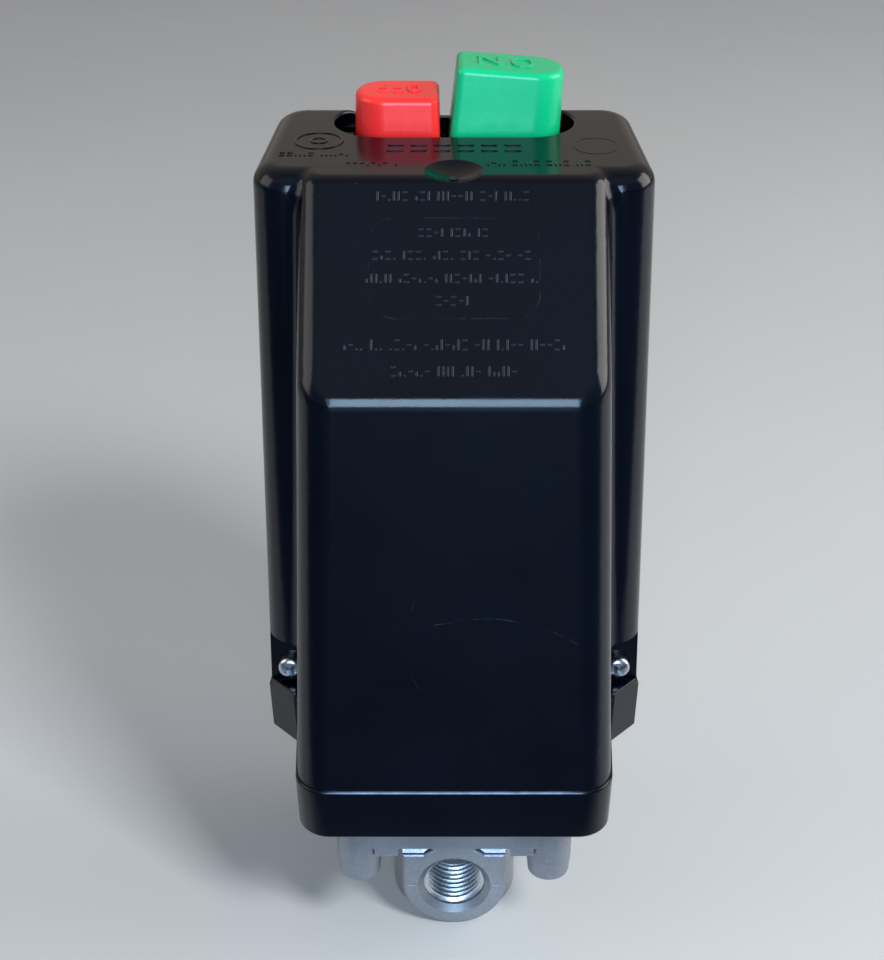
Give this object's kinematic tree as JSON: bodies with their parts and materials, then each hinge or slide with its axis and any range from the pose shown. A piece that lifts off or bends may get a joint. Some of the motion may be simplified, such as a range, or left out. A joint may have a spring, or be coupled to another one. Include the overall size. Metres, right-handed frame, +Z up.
{
  "type": "pressure switch",
  "caption": "Pressure switch with start and stop buttons, a tall moulded housing with a front bulge, and a cast base with a front-facing threaded port.",
  "frame": {"origin": "centre of the flat underside of the cast base's hub", "axes": "+Z up, towards the buttons; -Y to the front, where the port and the bulge face; +X to the right, towards the green button"},
  "size_m": [0.08, 0.071, 0.1793],
  "materials": {
    "black_plastic": "fine satin moulding",
    "green_plastic": "glossy satin moulding",
    "red_plastic": "glossy satin moulding",
    "cast_aluminium": "as cast, fine grain, machined thread",
    "zinc_steel": "bright zinc plating",
    "spring_steel": "drawn wire",
    "rubber_black": "matt",
    "brass": "stamped",
    "grey_moulding": "matt thermoset",
    "brown_moulding": "matt phenolic",
    "wire_insulation": "smooth insulation",
    "yellow_dial": "matt"
  },
  "bodies": {
    "housing": {"housing_cover": "black_plastic", "base_tray": "black_plastic", "cover_screws": "zinc_steel", "flange_casting": "cast_aluminium", "diaphragm": "rubber_black", "mechanism_frame": "zinc_steel", "frame_screws": "zinc_steel", "lever_pin": "zinc_steel", "range_spring": "spring_steel", "differential_spring": "spring_steel", "contact_block": "brown_moulding", "fixed_contacts": "brass", "terminal_screws": "zinc_steel", "overload_block": "brown_moulding", "pole_wires": "wire_insulation", "bimetals": "spring_steel", "heater_coils": "brass", "load_terminals": "brass", "load_screws": "zinc_steel", "button_guide": "black_plastic", "rocker_pin": "zinc_steel", "cable_grommets": "rubber_black", "earth_clamp": "brass", "earth_screw": "zinc_steel"},
    "lever": {"main_lever": "zinc_steel", "spring_strap": "zinc_steel"},
    "piston": {"diaphragm_piston": "brass"},
    "carrier": {"contact_carrier": "grey_moulding", "moving_contacts": "brass", "start_link": "zinc_steel"},
    "range_screw": {"range_screw": "zinc_steel"},
    "range_nut": {"range_nut": "zinc_steel"},
    "differential_screw": {"differential_screw": "zinc_steel"},
    "differential_nut": {"differential_nut": "zinc_steel"},
    "trip_slide": {"trip_slide": "grey_moulding"},
    "current_dial": {"current_dial": "yellow_dial"},
    "on_button": {"on_button": "green_plastic"},
    "off_button": {"off_button": "red_plastic"},
    "button_rocker": {"button_rocker": "grey_moulding"}
  },
  "joints": [
    {"name": "on_slide", "type": "slide", "parent": "housing", "child": "on_button", "axis": [0.0767, 0, 0.9971], "range_m": [-0.004, 0]},
    {"name": "off_slide", "type": "slide", "parent": "housing", "child": "off_button", "axis": [0, 0, 1], "range_m": [0, 0.004]},
    {"name": "rocker_hinge", "type": "hinge", "parent": "housing", "child": "button_rocker", "pos_m": [-0.0008, 0.02, 0.141], "axis": [0, 1, 0], "range_deg": [0, 22.61]},
    {"name": "carrier_slide", "type": "slide", "parent": "housing", "child": "carrier", "axis": [0, 0, 1], "range_m": [0, 0.00385]},
    {"name": "lever_hinge", "type": "hinge", "parent": "housing", "child": "lever", "pos_m": [0, 0.0046, 0.052], "axis": [-1, 0, 0], "range_deg": [0, 2.2], "deforming": ["range_spring", "differential_spring"]},
    {"name": "piston_slide", "type": "slide", "parent": "housing", "child": "piston", "axis": [0, 0, 1], "range_m": [0, 0.000625]},
    {"name": "range_turn", "type": "hinge", "parent": "housing", "child": "range_screw", "pos_m": [0, -0.01165, 0.111], "axis": [0, 0, 1], "range_deg": [-361, 361]},
    {"name": "range_nut_slide", "type": "slide", "parent": "housing", "child": "range_nut", "axis": [0, 0, 1], "range_m": [-0.001, 0.001], "deforming": ["range_spring"]},
    {"name": "differential_turn", "type": "hinge", "parent": "housing", "child": "differential_screw", "pos_m": [0, 0.0026, 0.0888], "axis": [0, 0, 1], "range_deg": [-361, 361]},
    {"name": "differential_nut_slide", "type": "slide", "parent": "housing", "child": "differential_nut", "axis": [0, 0, 1], "range_m": [-0.0007, 0.0007], "deforming": ["differential_spring"]},
    {"name": "trip_joint", "type": "slide", "parent": "housing", "child": "trip_slide", "axis": [1, 0, 0], "range_m": [0, 0.0008]},
    {"name": "dial_turn", "type": "hinge", "parent": "housing", "child": "current_dial", "pos_m": [0.0155, 0.0155, 0.124], "axis": [0, 0, 1], "range_deg": [-60, 60]}
  ],
  "couplings": [
    {"joint": "off_slide", "follows": "on_slide", "ratio": -1},
    {"joint": "rocker_hinge", "follows": "on_slide", "rad_per_m": -98.679},
    {"joint": "carrier_slide", "follows": "on_slide", "ratio": -0.96},
    {"joint": "piston_slide", "follows": "lever_hinge", "m_per_rad": 0.01625},
    {"joint": "range_turn", "follows": "range_nut_slide", "rad_per_m": -6283.2},
    {"joint": "differential_turn", "follows": "differential_nut_slide", "rad_per_m": -8976}
  ]
}
